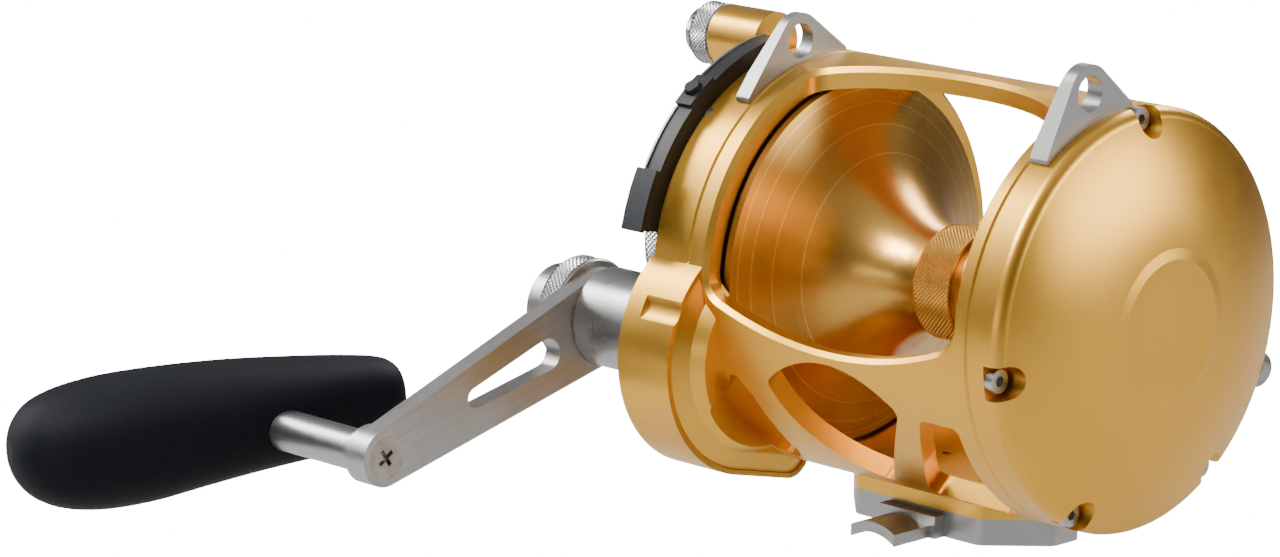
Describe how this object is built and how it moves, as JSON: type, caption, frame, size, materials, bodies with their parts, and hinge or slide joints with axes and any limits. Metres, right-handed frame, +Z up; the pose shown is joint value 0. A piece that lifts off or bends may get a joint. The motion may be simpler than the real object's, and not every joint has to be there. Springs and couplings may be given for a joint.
{
  "type": "trolling reel",
  "caption": "Lever-drag two-speed big-game trolling reel with an open one-piece frame, trumpet spool, crank with T-bar grip, harness lugs and rod foot.",
  "frame": {"origin": "centre of the reel foot's underside, the face that sits on the rod", "axes": "+X along the spool axis towards the plain side, -Y forward to the rod tip, +Z up"},
  "size_m": [0.2834, 0.2482, 0.1452],
  "materials": {
    "gold_anodised": "satin gold anodised, fine turned lines",
    "silver_anodised": "satin clear anodised",
    "stainless": "turned stainless steel",
    "gear_steel": "hobbed and polished stainless steel",
    "bearing_steel": "ground and polished",
    "carbon_fibre": "woven carbon friction face",
    "black_plastic": "fine moulded black",
    "bumper_rubber": "dull moulded rubber",
    "grip_rubber": "soft-touch blue-black rubber"
  },
  "bodies": {
    "housing": {"frame": "gold_anodised", "plain_side_cover": "gold_anodised", "cover_screws": "stainless", "handle_side_plate": "gold_anodised", "handle_plate_screws": "stainless", "bridge_plate": "gold_anodised", "bridge_screws": "stainless", "harness_lug_plain_side": "silver_anodised", "harness_lug_handle_side": "silver_anodised", "lug_pins": "stainless", "reel_foot": "silver_anodised", "foot_screws": "stainless", "spool_shaft": "stainless", "pinion_bearing": "bearing_steel", "crank_inner_bearing": "bearing_steel", "crank_outer_bearing": "bearing_steel", "pawl_pins": "stainless", "pawl_springs": "stainless", "quadrant": "black_plastic", "quadrant_edge_strip": "silver_anodised", "quadrant_bumper": "bumper_rubber", "strike_stop": "black_plastic", "quadrant_screws": "stainless"},
    "spool_set": {"spool": "gold_anodised", "spool_bearings": "bearing_steel", "drag_washer": "carbon_fibre", "drag_plate": "stainless", "belleville_washers": "stainless", "pinion_high": "gear_steel", "pinion_low": "gear_steel", "click_ratchet": "gear_steel"},
    "crank": {"crank_shaft": "stainless", "main_gear_high": "gear_steel", "anti_reverse_ratchet": "gear_steel", "crank_hub": "silver_anodised", "crank_arm": "silver_anodised", "hub_nut_ring": "silver_anodised", "arm_screw": "stainless", "grip_stem": "silver_anodised", "grip_circlip": "stainless"},
    "low_gear": {"main_gear_low": "gear_steel"},
    "shift_selector": {"shift_button": "silver_anodised", "shift_rod": "stainless"},
    "grip_set": {"grip": "grip_rubber", "grip_bearings": "bearing_steel"},
    "drag_lever_set": {"drag_lever": "gold_anodised", "drag_cam": "stainless"},
    "lever_thumb": {"lever_thumb_knob": "silver_anodised"},
    "preset_set": {"preset_knob": "silver_anodised", "preset_cap": "silver_anodised"},
    "strike_button_set": {"strike_button": "black_plastic"},
    "upper_pawl_set": {"upper_pawl": "gear_steel"},
    "lower_pawl_set": {"lower_pawl": "gear_steel"},
    "click_set": {"click_button": "silver_anodised", "click_pawl": "gear_steel"}
  },
  "joints": [
    {"name": "crank_turn", "type": "hinge", "parent": "housing", "child": "crank", "pos_m": [-0.09, -0.0365, 0.0455], "axis": [1, 0, 0], "continuous": true},
    {"name": "spool_spin", "type": "hinge", "parent": "housing", "child": "spool_set", "pos_m": [0, 0, 0.067], "axis": [1, 0, 0], "continuous": true},
    {"name": "low_gear_spin", "type": "hinge", "parent": "housing", "child": "low_gear", "pos_m": [-0.062, -0.0365, 0.0455], "axis": [1, 0, 0], "continuous": true},
    {"name": "shift_slide", "type": "slide", "parent": "crank", "child": "shift_selector", "axis": [1, 0, 0], "range_m": [0, 0.0024]},
    {"name": "grip_spin", "type": "hinge", "parent": "crank", "child": "grip_set", "pos_m": [-0.17, -0.1227, 0.0181], "axis": [1, 0, 0], "continuous": true},
    {"name": "drag_lever_swing", "type": "hinge", "parent": "housing", "child": "drag_lever_set", "pos_m": [-0.078, 0, 0.067], "axis": [1, 0, 0], "range_deg": [0, 49]},
    {"name": "lever_thumb_turn", "type": "hinge", "parent": "drag_lever_set", "child": "lever_thumb", "pos_m": [-0.096, -0.00311, 0.12632], "axis": [1, 0, 0], "range_deg": [-180, 180]},
    {"name": "preset_turn", "type": "hinge", "parent": "housing", "child": "preset_set", "pos_m": [-0.095, 0, 0.067], "axis": [1, 0, 0], "range_deg": [-150, 150]},
    {"name": "strike_press", "type": "slide", "parent": "housing", "child": "strike_button_set", "axis": [0, 0.6157, -0.788], "range_m": [0, 0.0012], "stiffness_N_per_m": 400},
    {"name": "upper_pawl_lift", "type": "hinge", "parent": "housing", "child": "upper_pawl_set", "pos_m": [-0.054, -0.03837, 0.06491], "axis": [1, 0, 0], "range_deg": [0, 10], "stiffness_Nm_per_rad": 0.02, "springref_deg": -11.46},
    {"name": "lower_pawl_lift", "type": "hinge", "parent": "housing", "child": "lower_pawl_set", "pos_m": [-0.054, -0.02043, 0.03445], "axis": [1, 0, 0], "range_deg": [-10, 0], "stiffness_Nm_per_rad": 0.02, "springref_deg": 11.46},
    {"name": "click_slide", "type": "slide", "parent": "housing", "child": "click_set", "axis": [0, 0.9272, -0.3746], "range_m": [0, 0.0025]}
  ],
  "couplings": [
    {"joint": "spool_spin", "follows": "crank_turn", "ratio": -3.1},
    {"joint": "low_gear_spin", "follows": "crank_turn", "ratio": 2.3846}
  ]
}
